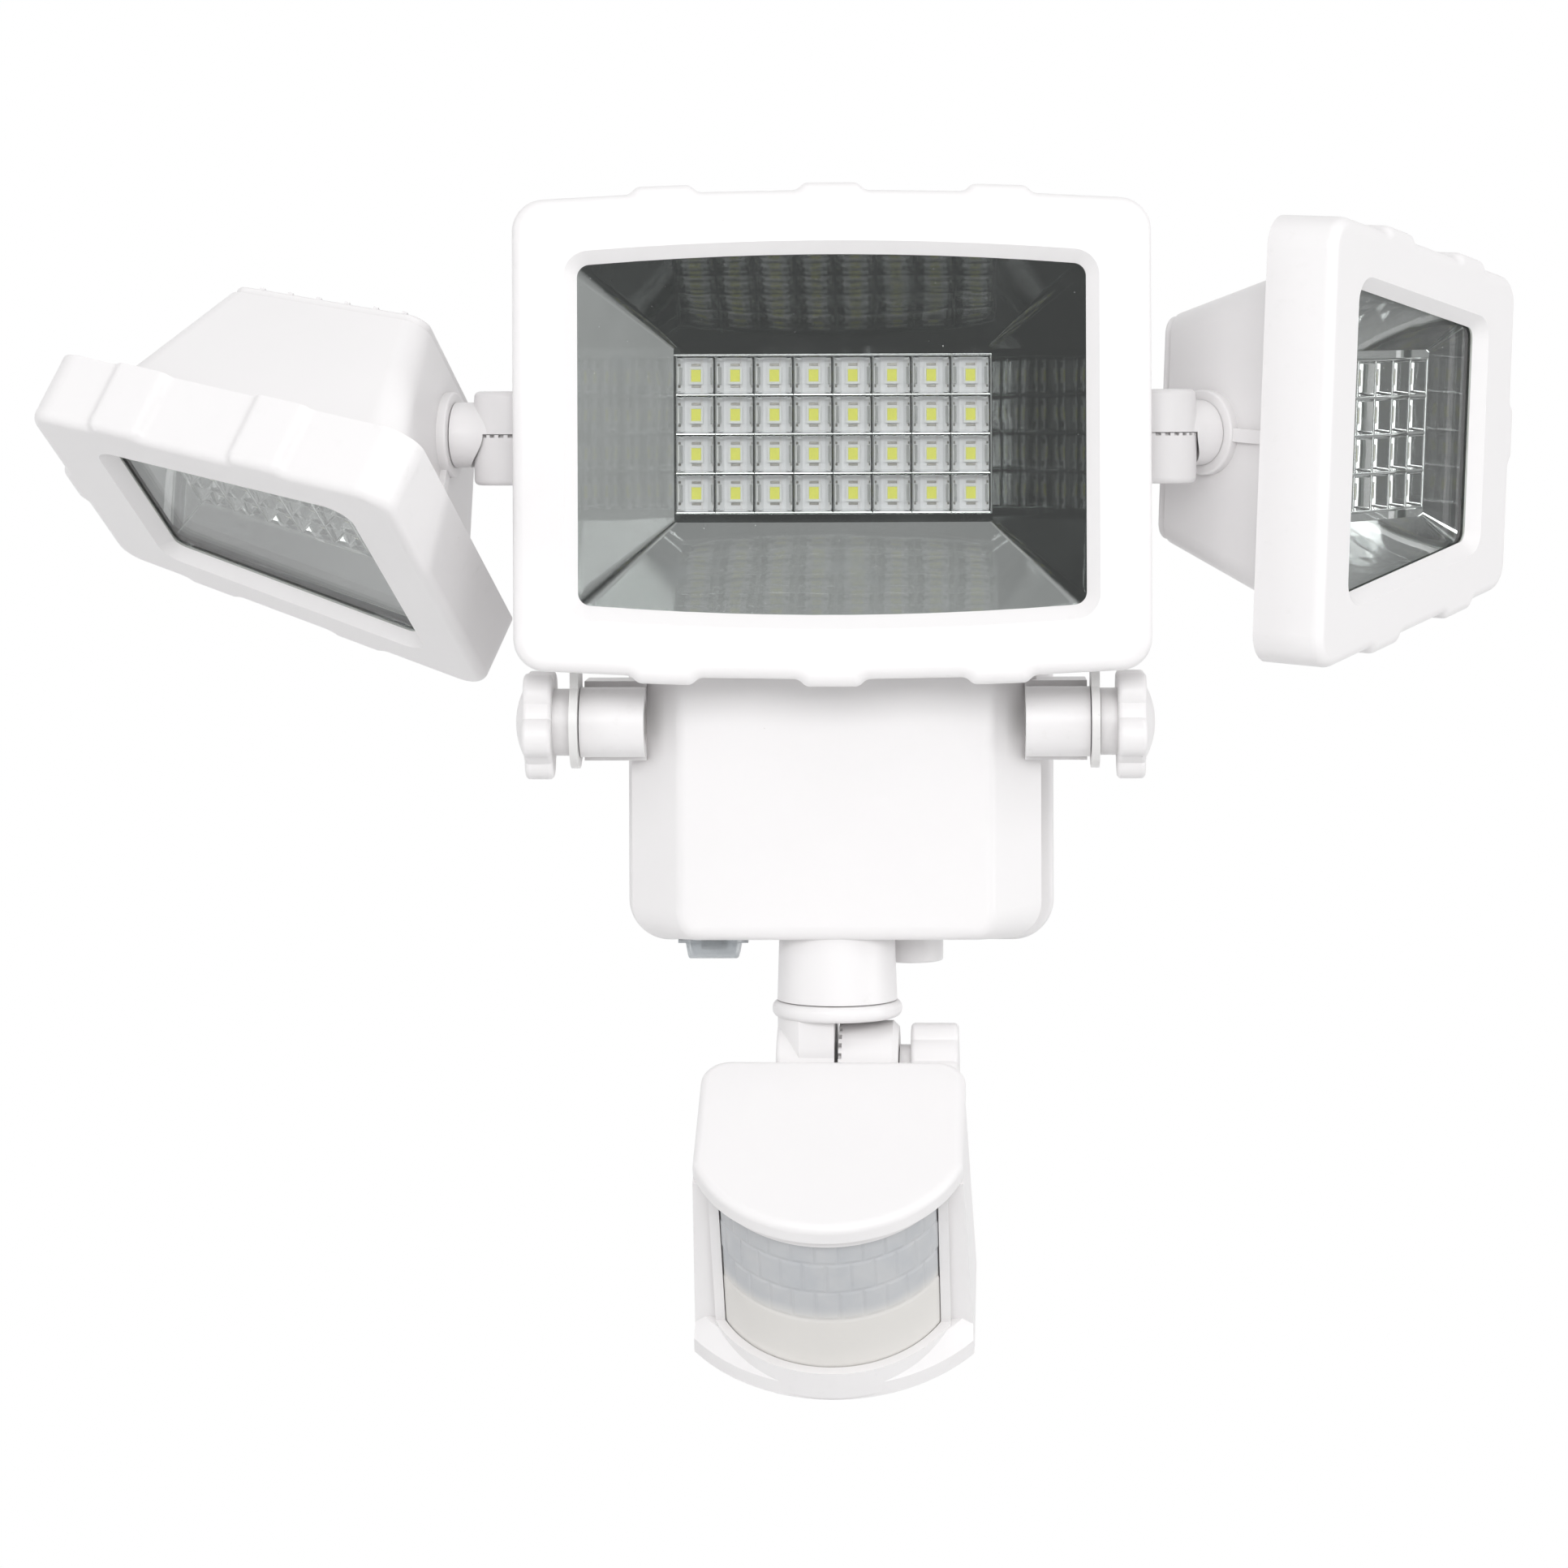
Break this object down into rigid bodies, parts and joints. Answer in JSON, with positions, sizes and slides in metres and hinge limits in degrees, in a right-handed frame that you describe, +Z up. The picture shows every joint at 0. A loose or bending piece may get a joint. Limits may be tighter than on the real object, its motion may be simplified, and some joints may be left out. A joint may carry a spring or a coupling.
{
  "type": "motion_sensor_security_light",
  "caption": "Wall security light with a wide centre lamp, two swivelling side lamps on knuckles, a battery box and a motion sensor head on a tilting arm below.",
  "frame": {"origin": "Middle of the back face of the wall cover, the face that lies on the wall.", "axes": "+X to the right as seen from the front, +Y out of the back into the wall, +Z up."},
  "size_m": [0.3088, 0.1216, 0.2458],
  "materials": {
    "white_plastic": "satin moulded",
    "chromed_plastic": "vacuum chromed",
    "front_glass": "clear",
    "led_package": "phosphor gel in a white frame",
    "board_white": "white solder mask",
    "board_green": "green solder mask",
    "painted_steel": "white powder coat",
    "zinc_steel": "zinc plated",
    "seal_rubber": "pale, soft",
    "clear_silicone": "clear soft",
    "milky_lens": "milky, moulded segments",
    "black_plastic": "moulded",
    "cell_sleeve": "shrink sleeve"
  },
  "bodies": {
    "box": {"front_case": "white_plastic", "case_gasket": "seal_rubber", "wall_cover": "white_plastic", "case_screws": "zinc_steel", "battery_cells": "cell_sleeve", "battery_holder": "black_plastic", "control_board": "board_green", "control_screws": "zinc_steel", "switch_body": "black_plastic", "switch_boot": "clear_silicone", "jack_socket": "white_plastic", "tilt_nuts": "zinc_steel"},
    "centre_lamp": {"centre_bezel": "white_plastic", "centre_housing": "white_plastic", "centre_rear_cover": "white_plastic", "centre_glass": "front_glass", "centre_glass_gasket": "seal_rubber", "centre_reflector": "chromed_plastic", "centre_led_board": "board_white", "centre_leds": "led_package", "centre_screws": "zinc_steel", "yoke_bracket": "painted_steel"},
    "switch_slider": {"switch_slider": "black_plastic"},
    "sensor_arm": {"sensor_arm": "white_plastic", "sensor_nut": "zinc_steel"},
    "sensor_head": {"sensor_housing": "white_plastic", "sensor_visor": "white_plastic", "sensor_lens": "milky_lens", "sensor_board": "board_green", "pir_element": "zinc_steel", "sensor_screws": "zinc_steel"},
    "wing_knob": {"wing_knob": "white_plastic", "wing_bolt": "zinc_steel"},
    "time_dial": {"time_dial": "black_plastic"},
    "light_dial": {"light_dial": "black_plastic"},
    "range_dial": {"range_dial": "black_plastic"},
    "left_knuckle": {"left_knuckle": "white_plastic"},
    "left_lamp": {"left_bezel": "white_plastic", "left_housing": "white_plastic", "left_rear_cover": "white_plastic", "left_glass": "front_glass", "left_glass_gasket": "seal_rubber", "left_reflector": "chromed_plastic", "left_led_board": "board_white", "left_leds": "led_package", "left_screws": "zinc_steel"},
    "left_clamp": {"left_clamp_knob": "white_plastic", "left_clamp_bolt": "zinc_steel"},
    "right_knuckle": {"right_knuckle": "white_plastic"},
    "right_lamp": {"right_bezel": "white_plastic", "right_housing": "white_plastic", "right_rear_cover": "white_plastic", "right_glass": "front_glass", "right_glass_gasket": "seal_rubber", "right_reflector": "chromed_plastic", "right_led_board": "board_white", "right_leds": "led_package", "right_screws": "zinc_steel"},
    "right_clamp": {"right_clamp_knob": "white_plastic", "right_clamp_bolt": "zinc_steel"}
  },
  "joints": [
    {"name": "centre_tilt", "type": "hinge", "parent": "box", "child": "centre_lamp", "pos_m": [0, -0.072, 0.0166], "axis": [1, 0, 0], "range_deg": [-20, 25]},
    {"name": "left_swivel", "type": "hinge", "parent": "centre_lamp", "child": "left_knuckle", "pos_m": [-0.0674, -0.068, 0.0758], "axis": [0, 0, 1], "range_deg": [-30, 20]},
    {"name": "right_swivel", "type": "hinge", "parent": "centre_lamp", "child": "right_knuckle", "pos_m": [0.0674, -0.068, 0.0758], "axis": [0, 0, 1], "range_deg": [-20, 20]},
    {"name": "left_lamp_tilt", "type": "hinge", "parent": "left_knuckle", "child": "left_lamp", "pos_m": [-0.0674, -0.068, 0.0758], "axis": [0.9888, -0.1495, 0], "range_deg": [-60, 20]},
    {"name": "right_lamp_tilt", "type": "hinge", "parent": "right_knuckle", "child": "right_lamp", "pos_m": [0.0674, -0.068, 0.0758], "axis": [0.7705, 0.6374, 0], "range_deg": [-30, 60]},
    {"name": "left_clamp_turn", "type": "hinge", "parent": "centre_lamp", "child": "left_clamp", "pos_m": [-0.0546, -0.072, 0.0166], "axis": [1, 0, 0], "range_deg": [-360, 360]},
    {"name": "right_clamp_turn", "type": "hinge", "parent": "centre_lamp", "child": "right_clamp", "pos_m": [0.0546, -0.072, 0.0166], "axis": [1, 0, 0], "range_deg": [-360, 360]},
    {"name": "switch_slide", "type": "slide", "parent": "box", "child": "switch_slider", "axis": [1, 0, 0], "range_m": [-0.0012, 0.0012]},
    {"name": "sensor_swivel", "type": "hinge", "parent": "box", "child": "sensor_arm", "pos_m": [0, -0.06, -0.0419], "axis": [0, 0, 1], "range_deg": [-60, 60]},
    {"name": "sensor_tilt", "type": "hinge", "parent": "sensor_arm", "child": "sensor_head", "pos_m": [0, -0.06, -0.0575], "axis": [0.9995, -0.0314, 0], "range_deg": [-20, 30]},
    {"name": "wing_knob_turn", "type": "hinge", "parent": "sensor_arm", "child": "wing_knob", "pos_m": [0.01399, -0.06044, -0.0575], "axis": [0.9995, -0.0314, 0], "range_deg": [-360, 360]},
    {"name": "time_dial_turn", "type": "hinge", "parent": "sensor_head", "child": "time_dial", "pos_m": [-0.01107, -0.06191, -0.10332], "axis": [0.0171, 0.5444, -0.8387], "range_deg": [-135, 135]},
    {"name": "light_dial_turn", "type": "hinge", "parent": "sensor_head", "child": "light_dial", "pos_m": [-0.00007, -0.06226, -0.10332], "axis": [0.0171, 0.5444, -0.8387], "range_deg": [-135, 135]},
    {"name": "range_dial_turn", "type": "hinge", "parent": "sensor_head", "child": "range_dial", "pos_m": [0.01092, -0.0626, -0.10332], "axis": [0.0171, 0.5444, -0.8387], "range_deg": [-135, 135]}
  ]
}
